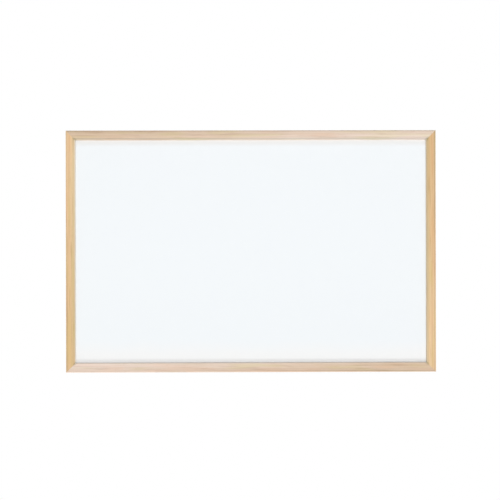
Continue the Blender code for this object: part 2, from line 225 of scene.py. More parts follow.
# Hardboard, and how far apart the wires of its press screen are
BOARD_DARK = (0.190, 0.100, 0.048, 1.0)
BOARD_LIGHT = (0.320, 0.185, 0.095, 1.0)
BOARD_PATCH = (0.270, 0.160, 0.085, 1.0)
BOARD_FLECK = (0.100, 0.050, 0.025, 1.0)
SCREEN_PITCH = 0.0016

# The bright steel of nails and points, and the zinc of hangers and screws: the draw, the dark and
# the light of their clouds, and their rolling marks in cycles a metre
Steel = namedtuple("Steel", "seed dark light marks")
BRIGHT_STEEL = Steel(
    seed=61.0,
    dark=(0.46, 0.46, 0.47, 1.0),
    light=(0.57, 0.57, 0.58, 1.0),
    marks=(3000.0, 90.0, 3000.0),
)
ZINC = Steel(
    seed=71.0,
    dark=(0.45, 0.45, 0.44, 1.0),
    light=(0.60, 0.60, 0.585, 1.0),
    marks=(2600.0, 2600.0, 120.0),
)

# The room. WORLD_LIGHT is how bright the world is where it isn't seen, and the floor is white to
# the camera by FLOOR_WHITENESS in the middle and wholly beyond the end of FLOOR_FADES.
WHITE = (1.0, 1.0, 1.0, 1.0)
WORLD_LIGHT = 0.34
FLOOR_HEIGHT = -1.35
FLOOR_RADIUS = 14.0
FLOOR_COLOUR = (0.90, 0.90, 0.89)
FLOOR_FADES = (0.7, 2.0)
FLOOR_WHITENESS = 0.45
FLOOR_CORNERS = 96

# The camera, a little left of the board's middle and above it
SENSOR_WIDTH = 36.0
LENS = 85.0
CAMERA_X = -0.0251
CAMERA_DISTANCE = 2.9274
CAMERA_RISE = 0.0032
CAMERA_ROLL = math.radians(0.12)
CAMERA_AZIMUTH = math.radians(-0.44)


# Nodes, for materials and for shapes


class Field:
    """One output of a node. Python's operators on it add Math nodes."""

    def __init__(self, nodes, socket):
        self.nodes = nodes
        self.socket = socket

    def other(self, name):
        """Another output of the same node."""
        return Field(self.nodes, self.socket.node.outputs[name])

    def __add__(self, value):
        return self.nodes.math("ADD", self, value)

    def __radd__(self, value):
        return self.nodes.math("ADD", value, self)

    def __sub__(self, value):
        return self.nodes.math("SUBTRACT", self, value)

    def __rsub__(self, value):
        return self.nodes.math("SUBTRACT", value, self)

    def __mul__(self, value):
        return self.nodes.math("MULTIPLY", self, value)

    def __rmul__(self, value):
        return self.nodes.math("MULTIPLY", value, self)

    def __truediv__(self, value):
        return self.nodes.math("DIVIDE", self, value)


class Nodes:
    """Fills one node tree."""

    def __init__(self, tree):
        self.tree = tree
        tree.nodes.clear()

    def add(self, kind, settings=None, sockets=None, output=0):
        """One node: first its settings, then a value or a link for each socket named."""
        node = self.tree.nodes.new(kind)
        for name, value in (settings or {}).items():
            self.set(node, name, value)
        for name, value in (sockets or {}).items():
            self.feed(node.inputs[name], value)
        return Field(self, node.outputs[output]) if len(node.outputs) else node

    def set(self, node, name, value):
        """One setting. Choices is how many values an Index Switch picks from."""
        if name == "choices":
            while len(node.index_switch_items) < value:
                node.index_switch_items.new()
        else:
            setattr(node, name, value)

    def feed(self, socket, value):
        """A link, several links or a plain value for one socket."""
        if isinstance(value, Field):
            self.tree.links.new(value.socket, socket)
        elif isinstance(value, list):
            for one in value:
                self.tree.links.new(one.socket, socket)
        else:
            socket.default_value = value

    def math(self, operation, *values):
        return self.add("ShaderNodeMath", {"operation": operation}, dict(enumerate(values)))

    def vector_math(self, operation, *values):
        return self.add("ShaderNodeVectorMath", {"operation": operation}, dict(enumerate(values)))

    def split(self, vector):
        """The three components of a vector."""
        parts = self.add("ShaderNodeSeparateXYZ", sockets={0: vector})
        return parts, parts.other("Y"), parts.other("Z")

    def join(self, x, y, z):
        return self.add("ShaderNodeCombineXYZ", sockets={0: x, 1: y, 2: z})

    def position(self):
        """The three components of each point's place."""
        return self.split(self.add("GeometryNodeInputPosition"))

    def pick(self, kind, values):
        """For each point the value that has the point's number."""
        number = self.add("GeometryNodeInputIndex")
        settings = {"data_type": kind, "choices": len(values)}
        sockets = {0: number, **dict(enumerate(values, start=1))}
        return self.add("GeometryNodeIndexSwitch", settings, sockets)


# Shapes


def geometry_tree(name, sizes, others):
    """A Geometry Nodes tree with these named inputs. Returns its nodes and the inputs' outputs."""
    tree = bpy.data.node_groups.new(name, "GeometryNodeTree")
    tree.interface.new_socket("Geometry", in_out="OUTPUT", socket_type="NodeSocketGeometry")
    inputs = {**dict.fromkeys(sizes, "Float"), **others}
    for label, kind in inputs.items():
        tree.interface.new_socket(label, in_out="INPUT", socket_type=f"NodeSocket{kind}")
    nodes = Nodes(tree)
    group = nodes.add("NodeGroupInput")
    return nodes, {label: group.other(label) for label in inputs}


def end_tree(nodes, geometry, material):
    """Close a tree: real geometry with its material."""
    real = nodes.add("GeometryNodeRealizeInstances", sockets={0: geometry})
    sockets = {"Geometry": real, "Material": material}
    dressed = nodes.add("GeometryNodeSetMaterial", sockets=sockets)
    nodes.add("NodeGroupOutput", sockets={0: dressed})


def new_object(name, data):
    """An object with this data, in the scene."""
    obj = bpy.data.objects.new(name, data)
    bpy.context.scene.collection.objects.link(obj)
    return obj


def discard(objects):
    for obj in objects:
        bpy.data.objects.remove(obj, do_unlink=True)


def grow(name, tree, values):
    """The plain mesh that a tree makes from these values."""
    seed = new_object(name, bpy.data.meshes.new(name))
    modifier = seed.modifiers.new(name, "NODES")
    modifier.node_group = tree
    for item in tree.interface.items_tree:
        if item.item_type == "SOCKET" and item.in_out == "INPUT":
            modifier[item.identifier] = values[item.name]
    return settle(seed)


def settle(obj):
    """Replace an object by one with its modifiers and its place already in a plain mesh."""
    name = obj.name
    bpy.context.view_layer.update()
    evaluated = obj.evaluated_get(bpy.context.evaluated_depsgraph_get())
    mesh = bpy.data.meshes.new_from_object(evaluated)
    mesh.transform(obj.matrix_world)
    discard([obj])
    mesh.name = name
    return new_object(name, mesh)


def moved(nodes, geometry, translation=(0.0, 0.0, 0.0), rotation=(0.0, 0.0, 0.0)):
    sockets = {"Geometry": geometry, "Translation": translation, "Rotation": rotation}
    return nodes.add("GeometryNodeTransform", sockets=sockets)


def joined(nodes, pieces):
    return nodes.add("GeometryNodeJoinGeometry", sockets={0: pieces})


def reshaped(nodes, geometry, position):
    """The same geometry with every point moved to a new position."""
    sockets = {"Geometry": geometry, "Position": position}
    return nodes.add("GeometryNodeSetPosition", sockets=sockets)


def through(nodes, line, corners):
    """A line or ring of points, drawn through these corners, (x, y)."""
    return reshaped(nodes, line, nodes.pick("VECTOR", [nodes.join(x, y, 0.0) for x, y in corners]))


def rounded(nodes, curve, radius, steps):
    sockets = {"Curve": curve, "Count": steps, "Radius": radius, "Limit Radius": True}
    return nodes.add("GeometryNodeFilletCurve", {"mode": "POLY"}, sockets)


def swept(nodes, path, section):
    """A solid with this section all along a path."""
    sockets = {"Curve": path, "Profile Curve": section, "Fill Caps": True}
    return nodes.add("GeometryNodeCurveToMesh", sockets=sockets)


def outline_curve(nodes, corners, radii, steps):
    """A closed outline through these corners, (x, y), each rounded by its own radius."""
    sockets = {"Resolution": len(corners)}
    ring = nodes.add("GeometryNodeCurvePrimitiveCircle", {"mode": "RADIUS"}, sockets)
    return rounded(nodes, through(nodes, ring, corners), nodes.pick("FLOAT", radii), steps)


def bar(nodes, outline, low, high):
    """A solid bar of this outline, from low to high along Z."""
    sockets = {"Start": nodes.join(0.0, 0.0, low), "End": nodes.join(0.0, 0.0, high)}
    line = nodes.add("GeometryNodeCurvePrimitiveLine", {"mode": "POINTS"}, sockets)
    return swept(nodes, line, outline)


def moulding_tree():
    """A rebated moulding of any length with both ends mitred, in a stick's own axes."""
    sizes = ("Length", "Face Width", "Depth", "Lip Thickness", "Rebate Wall", "Outer Rounding",
             "Sight Rounding", "Back Rounding", "Mitre Joint")
    nodes, size = geometry_tree("mitred_moulding", sizes, {"Wood": "Material"})
    face, wall, front = size["Face Width"], size["Rebate Wall"], 0.0 - size["Depth"]
    lip_back = front + size["Lip Thickness"]
    rebate = [(wall, 0.0), (wall, lip_back), (face, lip_back)]
    corners = [(0.0, 0.0), *rebate, (face, front), (0.0, front)]
    radii = [size["Back Rounding"], 0.0, 0.0, 0.0, size["Sight Rounding"], size["Outer Rounding"]]
    section = outline_curve(nodes, corners, radii, SECTION_STEPS)
    # The stock ends at -1 and 1, and the cuts move each point of its ends to its own reach.
    stock = bar(nodes, section, -1.0, 1.0)
    inward, depth, end = nodes.position()
    reach = size["Length"] / 2.0 - inward - size["Mitre Joint"] * math.sqrt(0.5)
    sawn = reshaped(nodes, stock, nodes.join(end * reach, depth, inward))
    end_tree(nodes, sawn, size["Wood"])
    return nodes.tree


def point_tree():
    """Steel points along all four sides of the rebate: flat tongues, round at the free end."""
    sizes = ("Width", "Metal", "Driven", "Free", "Taper", "Height", "Frame Width", "Frame Height",
             "Wall", "From Corner")
    others = {"Rail Points": "Int", "Stile Points": "Int", "Steel": "Material"}
    nodes, size = geometry_tree("rebate_points", sizes, others)
    half, free, driven = size["Width"] / 2.0, size["Free"], 0.0 - size["Driven"]
    shoulder = driven + size["Taper"]
    left = 0.0 - half
    corners = [(0.0, driven), (half, shoulder), (half, free), (left, free), (left, shoulder)]
    # The two roundings of the end are a hair under half the width, so that they share no point.
    rounding = half * 0.998
    outline = outline_curve(nodes, corners, [0.0, 0.0, rounding, rounding, 0.0], TONGUE_STEPS)
    tongue = bar(nodes, outline, size["Metal"] * -0.5, size["Metal"] * 0.5)
    tongue = moved(nodes, tongue, rotation=(QUARTER_TURN, 0.0, 0.0))
    rows = []
    for stick in STICKS.values():
        length, other = size["Frame Width"], size["Frame Height"]
        if stick.kind == "stile":
            length, other = other, length
        run = length - size["From Corner"] * 2.0
        wall = size["Wall"] - other / 2.0
        first, last = (nodes.join(run * share, size["Height"], wall) for share in (-0.5, 0.5))
        count = size[f"{stick.kind.title()} Points"]
        settings = {"mode": "END_POINTS", "count_mode": "TOTAL"}
        sockets = {"Count": count, "Start Location": first, "Offset": last}
        row = nodes.add("GeometryNodeMeshLine", settings, sockets)
        sockets = {"Points": row, "Instance": tongue}
        row = nodes.add("GeometryNodeInstanceOnPoints", sockets=sockets)
        rows.append(moved(nodes, row, BOARD_CENTRE, (0.0, stick.turn, 0.0)))
    end_tree(nodes, joined(nodes, rows), size["Steel"])
    return nodes.tree


def nail_tree():
    """V-nails across the four mitres: ribbons that open outward, with curled edges."""
    sizes = ("Leg", "Curl", "Metal", "Top", "Bottom", "Frame Width", "Frame Height", "First",
             "Last")
    others = {"Nails A Corner": "Int", "Steel": "Material"}
    nodes, size = geometry_tree("corner_nails", sizes, others)
    leg, curl = size["Leg"], size["Curl"] * math.sqrt(0.5)
    path = [(leg + curl, 0.0 - curl), (leg, 0.0), (0.0, 0.0), (0.0, leg), (0.0 - curl, leg + curl)]
    line = nodes.add("GeometryNodeMeshLine", {"mode": "OFFSET"}, {"Count": len(path)})
    line = nodes.add("GeometryNodeMeshToCurve", sockets={0: through(nodes, line, path)})
    line = rounded(nodes, line, size["Metal"] * NAIL_BEND, BEND_STEPS)
    sockets = {"Width": size["Metal"], "Height": size["Top"] - size["Bottom"]}
    strip = nodes.add("GeometryNodeCurvePrimitiveQuadrilateral", {"mode": "RECTANGLE"}, sockets)
    # The ribbon is drawn flat, so its height turns to the depth of the frame.
    ribbon = moved(nodes, swept(nodes, line, strip), rotation=(QUARTER_TURN, 0.0, 0.0))
    depth = (size["Top"] + size["Bottom"]) / 2.0
    step = (size["First"] - size["Last"]) / (size["Nails A Corner"] - 1.0)
    first = 0.0 - size["First"]
    sockets = {
        "Count": size["Nails A Corner"],
        "Start Location": nodes.join(first, depth, first),
        "Offset": nodes.join(step, 0.0, step),
    }
    row = nodes.add("GeometryNodeMeshLine", {"mode": "OFFSET"}, sockets)
    row = nodes.add("GeometryNodeInstanceOnPoints", sockets={"Points": row, "Instance": ribbon})
    corners = []
    for quarter, (x, z) in enumerate(((0.5, 0.5), (-0.5, 0.5), (-0.5, -0.5), (0.5, -0.5))):
        height = size["Frame Height"] * z + MIDDLE
        corner = nodes.join(size["Frame Width"] * x, 0.0, height)
        corners.append(moved(nodes, row, corner, (0.0, -quarter * QUARTER_TURN, 0.0)))
    end_tree(nodes, joined(nodes, corners), size["Steel"])
    return nodes.tree


def screw_tree():
    """Countersunk screws with a cross recess and a rolled thread, two in each hanger plate."""
    sizes = ("Length", "Head Radius", "Rim", "Core Radius", "Thread", "Pitch", "Point", "Hanger X",
             "Hanger Z", "Offset", "Sunk")
    nodes, size = geometry_tree("hanger_screws", sizes, {"Seed": "Int", "Steel": "Material"})
    sockets = {
        "Vertices": SCREW_SIDES,
        "Side Segments": SCREW_RINGS,
        "Radius": 1.0,
        "Depth": size["Length"],
    }
    blank = nodes.add("GeometryNodeMeshCylinder", {"fill_type": "NGON"}, sockets)
    x, y, z = nodes.position()
    below = size["Length"] / 2.0 - z
    angle = nodes.math("ARCTAN2", y, x)
    from_tip = (size["Length"] - below) / size["Point"]
    point = nodes.add("ShaderNodeClamp", sockets={0: from_tip, 1: SCREW_TIP})
    turn = nodes.math("FRACT", below / size["Pitch"] - angle / FULL_TURN)
    ridge = nodes.math("MAXIMUM", 1.0 - nodes.math("ABSOLUTE", turn - 0.5) * THREAD_SLOPE, 0.0)
    threaded = nodes.math("GREATER_THAN", below, size["Length"] * SCREW_PLAIN)
    shank = (size["Core Radius"] + size["Thread"] * ridge * threaded) * point
    head = nodes.math("MINIMUM", size["Head Radius"], size["Head Radius"] + size["Rim"] - below)
    radius = nodes.math("MAXIMUM", head, shank)
    blank = reshaped(nodes, blank, nodes.join(x * radius, y * radius, 0.0 - below))
    screw = nodes.add(
        "GeometryNodeMeshBoolean",
        {"operation": "DIFFERENCE", "solver": "EXACT"},
        {"Mesh 1": blank, "Mesh 2": cross_recess(nodes)},
    )
    facing_wall = moved(nodes, screw, rotation=(-QUARTER_TURN, 0.0, 0.0))
    spots = []
    for side in (-1.0, 1.0):
        for end in (-1.0, 1.0):
            height = size["Hanger Z"] + size["Offset"] * end
            spot = nodes.join(size["Hanger X"] * side, 0.0 - size["Sunk"], height)
            spots.append(nodes.add("GeometryNodePoints", sockets={"Count": 1, "Position": spot}))
    sockets = {2: 0.0, 3: QUARTER_TURN, "Seed": size["Seed"]}
    twist = nodes.add("FunctionNodeRandomValue", {"data_type": "FLOAT"}, sockets, output=1)
    sockets = {
        "Points": joined(nodes, spots),
        "Instance": facing_wall,
        "Rotation": nodes.join(0.0, twist, 0.0),
    }
    end_tree(nodes, nodes.add("GeometryNodeInstanceOnPoints", sockets=sockets), size["Steel"])
    return nodes.tree


def cross_recess(nodes):
    """Two crossed wedges that narrow downward, for the driver."""
    wedge = nodes.add("GeometryNodeMeshCube", sockets={"Size": RECESS_SIZE})
    x, y, z = nodes.position()
    longer, wider = RECESS_GROWS
    wedge = reshaped(nodes, wedge, nodes.join(x * (1.0 + z * longer), y * (1.0 + z * wider), z))
    return [wedge, moved(nodes, wedge, rotation=(0.0, 0.0, QUARTER_TURN))]


def arc(centre, radius, start, sweep, steps):
    """Points along a circular arc, both ends included, angles in radians."""
    angles = [start + sweep * step / steps for step in range(steps + 1)]
    return [(centre[0] + radius * math.cos(a), centre[1] + radius * math.sin(a)) for a in angles]


def obround(half_travel, radius):
    """A slot's outline along Y: two half circles joined by straight sides."""
    upper = arc((0.0, half_travel), radius, 0.0, HALF_TURN, SLOT_STEPS)
    lower = arc((0.0, -half_travel), radius, HALF_TURN, HALF_TURN, SLOT_STEPS)
    return upper + lower


def keyhole():
    """A round hole for the hanging screw's head with a slot above it for its shank."""
    low, high = -KEYHOLE_TRAVEL / 2, KEYHOLE_TRAVEL / 2
    meets = math.acos(KEYHOLE_SLOT_RADIUS / KEYHOLE_HEAD_RADIUS)
    start, sweep = HALF_TURN - meets, HALF_TURN + 2 * meets
    head = arc((0.0, low), KEYHOLE_HEAD_RADIUS, start, sweep, KEYHOLE_HEAD_STEPS)
    return head + arc((0.0, high), KEYHOLE_SLOT_RADIUS, 0.0, HALF_TURN, KEYHOLE_SLOT_STEPS)


def flat_piece(name, outlines, thickness, edge, place):
    """A flat piece with softened edges, centred on its own plane, moved to its place."""
    curve = bpy.data.curves.new(name, "CURVE")
    curve.dimensions = "2D"
    curve.fill_mode = "BOTH"
    curve.extrude = thickness / 2 - edge
    curve.bevel_depth = edge
    curve.bevel_resolution = EDGE_STEPS
    curve.offset = -edge
    for outline in outlines:
        spline = curve.splines.new("POLY")
        spline.points.add(len(outline) - 1)
        for point, (x, y) in zip(spline.points, outline):
            point.co = (x, y, 0.0, 1.0)
        spline.use_cyclic_u = True
    obj = new_object(name, curve)
    obj.matrix_world = place
    return weld(settle(obj))


def weld(obj):
    """Join the points that lie together and turn the faces outwards."""
    shape = bmesh.new()
    shape.from_mesh(obj.data)
    bmesh.ops.remove_doubles(shape, verts=shape.verts, dist=WELD_WITHIN)
    bmesh.ops.recalc_face_normals(shape, faces=shape.faces)
    shape.to_mesh(obj.data)
    shape.free()
    return obj


def turned(name, profile, place):
    """A solid of revolution about Z from (radius, height) points, both ends on the axis."""
    shape = bmesh.new()
    rings = []
    for radius, height in profile:
        spots = arc((0.0, 0.0), radius, 0.0, FULL_TURN, TURNED_SIDES)[:-1]
        if radius == 0.0:
            spots = spots[:1]
        rings.append([shape.verts.new((x, y, height)) for x, y in spots])
    for upper, lower in zip(rings, rings[1:]):
        for number in range(TURNED_SIDES):
            after = (number + 1) % TURNED_SIDES
            corners = [upper[number % len(upper)], lower[number % len(lower)],
                       lower[after % len(lower)], upper[after % len(upper)]]
            shape.faces.new(list(dict.fromkeys(corners)))
    mesh = bpy.data.meshes.new(name)
    shape.to_mesh(mesh)
    shape.free()
    mesh.transform(place)
    return weld(new_object(name, mesh))


def cut(piece, cutters):
    """Take the cutters' shapes out of the piece, and bake the result into its mesh."""
    for cutter in cutters:
        boolean = piece.modifiers.new(cutter.name, "BOOLEAN")
        boolean.operation = "DIFFERENCE"
        boolean.solver = "EXACT"
        boolean.object = cutter
    return settle(piece)


def shade(obj):
    """Smooth shading over curves, with real edges kept sharp and flats kept flat."""
    obj.data.shade_smooth()
    obj.data.set_sharp_from_angle(angle=REAL_EDGE)
    weighted = obj.modifiers.new("even_shading", "WEIGHTED_NORMAL")
    weighted.keep_sharp = True
    return settle(obj)


def soften(obj, width):
    """Take a hair off every arris."""
    bevel = obj.modifiers.new("arris", "BEVEL")
    bevel.width = width
    bevel.segments = EDGE_STEPS
    bevel.limit_method = "ANGLE"
    bevel.angle_limit = REAL_EDGE
    return settle(obj)


# The pieces of the board


def dress_as(obj, slot_name, *nodes):
    """Hand a piece over: it stands for these nodes and rides with the board."""
    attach(obj, "root")
    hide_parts(*nodes)
    return obj


def paint(obj, material):
    obj.data.materials.clear()
    obj.data.materials.append(material)
    return obj


def place_of(stick):
    """The matrix from a stick's own axes to the board."""
    return Matrix.Translation(stick.place) @ Matrix.Rotation(stick.turn, 4, "Y")


def moulding(side, tree, cutters):
    """One stick of the frame, with every recess that its fittings need."""
    material = sawn_wood(side)
    values = {
        "Length": LENGTHS[STICKS[side].kind],
        "Face Width": FACE_WIDTH,
        "Depth": DEPTH,
        "Lip Thickness": LIP_THICKNESS,
        "Rebate Wall": REBATE_WALL,
        "Outer Rounding": OUTER_ROUNDING,
        "Sight Rounding": SIGHT_ROUNDING,
        "Back Rounding": BACK_ROUNDING,
        "Mitre Joint": MITRE_JOINT,
        "Wood": material,
    }
    stick = grow(f"wood_of_{side}", tree, values)
    stick.data.transform(place_of(STICKS[side]))
    stick = paint(shade(cut(soften(stick, ARRIS), cutters)), material)
    return dress_as(stick, f"{STICKS[side].kind}_wood", side)


def steel_points(name, tree, steel, clearance=0.0):
    """All the points at once, or with a clearance the slots that they sit in."""
    values = {
        "Width": POINT_WIDTH + 2 * clearance,
        "Metal": POINT_METAL + 2 * clearance,
        "Driven": POINT_DRIVEN + clearance,
        "Free": POINT_FREE,
        "Taper": POINT_TAPER,
        "Height": POINT_MIDDLE,
        "Frame Width": FRAME_WIDTH,
        "Frame Height": FRAME_HEIGHT,
        "Wall": REBATE_WALL,
        "From Corner": POINTS_FROM_CORNER,
        "Rail Points": RAIL_POINTS,
        "Stile Points": STILE_POINTS,
        "Steel": steel,
    }
    return grow(name, tree, values)


def v_nails(name, tree, steel, clearance=0.0, top=-NAIL_SUNK):
    """All the V-nails at once, or with a clearance the kerfs that they sit in."""
    values = {
        "Leg": NAIL_LEG,
        "Curl": NAIL_CURL,
        "Metal": NAIL_METAL + 2 * clearance,
        "Top": top,
        "Bottom": -NAIL_SUNK - NAIL_HEIGHT - clearance,
        "Frame Width": FRAME_WIDTH,
        "Frame Height": FRAME_HEIGHT,
        "First": FIRST_NAIL,
        "Last": LAST_NAIL,
        "Nails A Corner": NAILS_A_CORNER,
        "Steel": steel,
    }
    return grow(name, tree, values)


def screws(tree, steel):
    """All four screws at once, each turned by its own amount."""
    values = {
        "Length": SCREW_LENGTH,
        "Head Radius": SCREW_HEAD_RADIUS,
        "Rim": SCREW_RIM,
        "Core Radius": SCREW_CORE_RADIUS,
        "Thread": SCREW_THREAD,
        "Pitch": SCREW_PITCH,
        "Point": SCREW_POINT,
        "Hanger X": HANGER_X,
        "Hanger Z": HANGER_Z,
        "Offset": SCREW_OFFSET,
        "Sunk": PLATE_SUNK,
        "Seed": SCREW_SEED,
        "Steel": steel,
    }
    return grow("countersunk_screws", tree, values)


def at_wall(side):
    """Where a hanger lies: local +Z towards the wall, local +Y up."""
    to_wall = Matrix.Rotation(-QUARTER_TURN, 4, "X") @ Matrix.Rotation(HALF_TURN, 4, "Z")
    return Matrix.Translation((side * HANGER_X, 0.0, HANGER_Z)) @ to_wall


def bore(name, place, clearance, above):
    """The room that a countersunk screw takes."""
    head = SCREW_HEAD_RADIUS + clearance
    shank = SCREW_CORE_RADIUS + SCREW_THREAD + clearance
    profile = [
        (0.0, above),
        (head, above),
        (head, -SCREW_RIM),
        (shank, -SCREW_RIM - (head - shank)),
        (shank, -SCREW_LENGTH + SCREW_POINT),
        (0.0, -SCREW_LENGTH - clearance),
    ]
    return turned(name, profile, place)


def bores(name, side, clearance, above):
    """The bores of one hanger's two screws."""
    heads = [Matrix.Translation((0.0, end * SCREW_OFFSET, -PLATE_SUNK)) for end in (-1, 1)]
    return [bore(name, at_wall(side) @ head, clearance, above) for head in heads]


def pocket(name, side, outline, floor, above):
    """A cutter of this outline, from its floor in the wood to this far above the back."""
    middle = at_wall(side) @ Matrix.Translation((0.0, 0.0, (above + floor) / 2))
    return flat_piece(name, [outline], above - floor, 0.0, middle)


def hanger_cutters(side):
    """What is cut into a stile for one hanger: the plate's seat, room for a head, two bores."""
    seat = obround((PLATE_LENGTH - PLATE_WIDTH) / 2, PLATE_WIDTH / 2 + SEAT_ROOM)
    room = obround(KEYHOLE_TRAVEL / 2, KEYHOLE_HEAD_RADIUS + HEAD_POCKET_PLAY)
    seat_floor = -PLATE_SUNK - PLATE_METAL - SEAT_DEEPER
    room_floor = seat_floor - HEAD_POCKET_DEPTH
    return [
        pocket("seat", side, seat, seat_floor, CUT_PAST),
        pocket("room", side, room, room_floor, POCKET_PAST),
        *bores("bore", side, DRIVEN_ROOM, BORE_PAST),
    ]


def keyhole_plate(name, side, material):
    """A stamped plate with a keyhole and two countersunk holes."""
    middle = at_wall(side) @ Matrix.Translation((0.0, 0.0, -PLATE_SUNK - PLATE_METAL / 2))
    outlines = [obround((PLATE_LENGTH - PLATE_WIDTH) / 2, PLATE_WIDTH / 2), keyhole()]
    plate = flat_piece(name, outlines, PLATE_METAL, PLATE_EDGE, middle)
    holes = bores("hole", side, HOLE_ROOM, CUT_PAST)
    plate = cut(plate, holes)
    discard(holes)
    return paint(shade(plate), material)


# Finishes


class Finish(Nodes):
    """The nodes of one material."""

    def __init__(self, name):
        self.material = bpy.data.materials.new(name)
        self.material.use_nodes = True
        super().__init__(self.material.node_tree)
        self.place = self.add("ShaderNodeTexCoord").other("Object")

    def mix(self, amount, first, second, blend="MIX"):
        """A colour between two colours."""
        settings = {"data_type": "RGBA", "blend_type": blend}
        return self.add("ShaderNodeMix", settings, {0: amount, 6: first, 7: second}, output=2)

    def tinted(self, amount, colour, tone):
        """A colour multiplied by a tone, by an amount of 0 to 1."""
        return self.mix(amount, colour, tone, "MULTIPLY")

    def lit(self, colour, value):
        """A colour made lighter or darker by a number."""
        sockets = {0: colour, "Scale": value}
        return self.add("ShaderNodeVectorMath", {"operation": "SCALE"}, sockets)

    def noise(self, place, stretch, seed, detail=2.0, roughness=0.5):
        """Cloudy noise from 0 to 1, its grain set for each axis in cycles a metre."""
        sockets = {
            "Vector": self.vector_math("MULTIPLY", place, stretch),
            "W": seed,
            "Scale": 1.0,
            "Detail": detail,
            "Roughness": roughness,
        }
        return self.add("ShaderNodeTexNoise", {"noise_dimensions": "4D"}, sockets)

    def step(self, value, low, high):
        """0 below low, 1 above high, soft between."""
        sockets = {"Value": value, "From Min": low, "From Max": high}
        return self.add("ShaderNodeMapRange", {"interpolation_type": "SMOOTHSTEP"}, sockets)

    def bump(self, height, depth):
        """A normal from a height of 0 to 1 that stands for this many metres."""
        sockets = {"Height": height, "Distance": depth, "Strength": 1.0}
        return self.add("ShaderNodeBump", sockets=sockets)

    def end(self, sockets):
        """Close the material with one Principled shader."""
        shader = self.add("ShaderNodeBsdfPrincipled", sockets=sockets)
        self.add("ShaderNodeOutputMaterial", sockets={"Surface": shader})
        return self.material


def sawn_wood(side):
    """Pale wood, its grain along the stick: bands, fibres, pores, tone that drifts, and painted
    shade and a painted highlight along its edges.
    """
    stick = STICKS[side]
    tones, wear, length = WOODS[stick.kind], stick.wear, LENGTHS[stick.kind]
    wood = Finish(f"wood_{side}")
    sockets = {"Vector": wood.place, "Location": stick.place, "Rotation": (0.0, stick.turn, 0.0)}
    own = wood.add("ShaderNodeMapping", {"vector_type": "TEXTURE"}, sockets)
    along, depth, inward = wood.split(own)
    sway = wood.noise(own, (3.0, 8.0, 8.0), stick.seed) - 0.5
    flow = wood.join(along, depth + sway * DEPTH_SWAY, inward + sway * FACE_SWAY)
    bands = wood.noise(flow, (1.6, 240.0, 240.0), stick.seed + 1.0, 3.0, 0.55)
    clouds = wood.noise(flow, (13.0, 75.0, 75.0), stick.seed + 2.0, 2.0)
    tints = wood.noise(flow, (9.0, 95.0, 95.0), stick.seed + 3.0, 2.0)
    fibres = wood.noise(flow, (22.0, 1900.0, 1900.0), stick.seed + 4.0, 4.0, 0.6)
    streaks = wood.noise(flow, (15.0, 360.0, 360.0), stick.seed + 5.0, 2.0)
    pores = wood.step(wood.noise(flow, (130.0, 3200.0, 3200.0), stick.seed + 6.0, 1.0), 0.62, 0.72)

    to_deep_end = wood.step(along / length + 0.5 + (clouds - 0.5) * 0.6, -0.05, 1.05)
    colour = wood.mix(to_deep_end, tones.pale_end, tones.deep_end)
    outside = 1.0 - wood.step(inward + sway * FACE_SWAY, *OUTER_HALF)
    colour = wood.mix(outside * 0.45, colour, tones.outer)
    colour = wood.tinted(wood.step(tints, 0.50, 0.66) * 0.9, colour, BLUSH)
    colour = wood.tinted(wood.step(tints, 0.50, 0.34) * 0.9, colour, OLIVE)
    colour = wood.tinted(wood.step(bands, 0.44, 0.66) * 0.70, colour, DARKER)
    colour = wood.tinted(wood.step(streaks, 0.53, 0.66) * 0.85, colour, DARKER)

    at_front = 1.0 - wood.step(depth, *PAINTED_LIGHT_DEPTH)
    # Painted shade on the outer arris, which turns away from the light, stronger towards the deep
    # end
    arris_shade = at_front * wood.step(inward, *ARRIS_SHADE_FROM) * (1.0 - wood.step(inward, *ARRIS_SHADE_TO))
    more_at_deep_end = to_deep_end * to_deep_end * (wear.deep_handled - wear.pale_handled)
    arris_shading = wear.pale_handled + more_at_deep_end
    colour = wood.tinted(arris_shade * arris_shading * clouds * 2.0, colour, tones.arris)
    from_mitre = length / 2.0 - wood.math("ABSOLUTE", along) - inward
    cornered = wood.step(inward, *CORNER_FROM) * (1.0 - wood.step(from_mitre, *CORNER_REACH))
    colour = wood.tinted(cornered, colour, CORNER_TONE)
    # Painted shade along the sight edge, which turns away from the light
    wiped = at_front * wood.step(inward, FACE_WIDTH - wear.wiped_width, SIGHT_SHADE_FULL)
    colour = wood.tinted(wiped * wear.wiped, colour, SIGHT_SHADE_TONE)
    # A painted highlight on the sight rounding
    dusted = at_front * wood.step(inward, *SIGHT_HIGHLIGHT_FROM)
    colour = wood.mix(dusted * wear.dusted * (streaks + 0.5), colour, SIGHT_HIGHLIGHT)

    colour = wood.lit(colour, stick.tone * WOOD_LIGHTNESS + (fibres - 0.5) * 0.20)
    colour = wood.mix(pores * 0.35, colour, tones.pore)
    roughness = 0.50 + (fibres - 0.5) * 0.20 + pores * 0.12
    height = fibres * 0.6 + bands * 0.3 - pores * 0.8
    return wood.end({
        "Base Color": colour,
        "Roughness": roughness,
        "Normal": wood.bump(height, 0.00005),
        "IOR": 1.42,
    })


